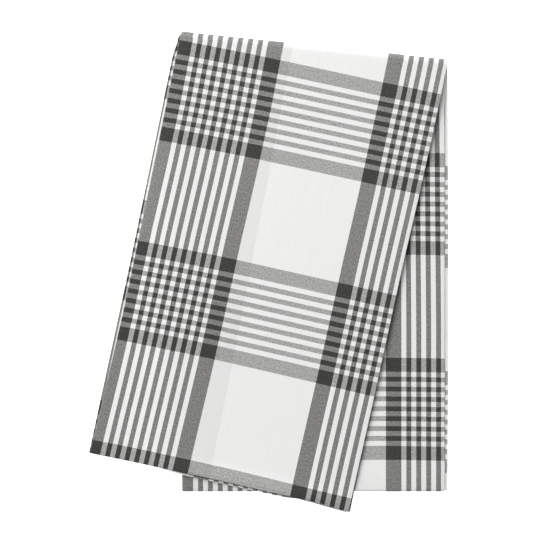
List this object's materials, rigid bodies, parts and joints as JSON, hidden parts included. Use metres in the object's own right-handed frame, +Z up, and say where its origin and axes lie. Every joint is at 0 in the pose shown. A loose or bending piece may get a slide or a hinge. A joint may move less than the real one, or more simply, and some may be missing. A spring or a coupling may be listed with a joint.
{
  "type": "folded tablecloth",
  "caption": "Woven cotton tablecloth with a check of stripes, hemmed, folded flat into a strip and brought forward over a slanted fold.",
  "frame": {"origin": "centre of the box round the folded cloth, on the surface it lies on", "axes": "+Z up from the surface, +Y along the back panel from its foot to the top fold, +X across the panel"},
  "size_m": [0.4888, 0.6544, 0.0214],
  "materials": {
    "cloth": "matt woven cotton"
  },
  "bodies": {
    "root": {"tablecloth": "cloth"}
  },
  "joints": []
}
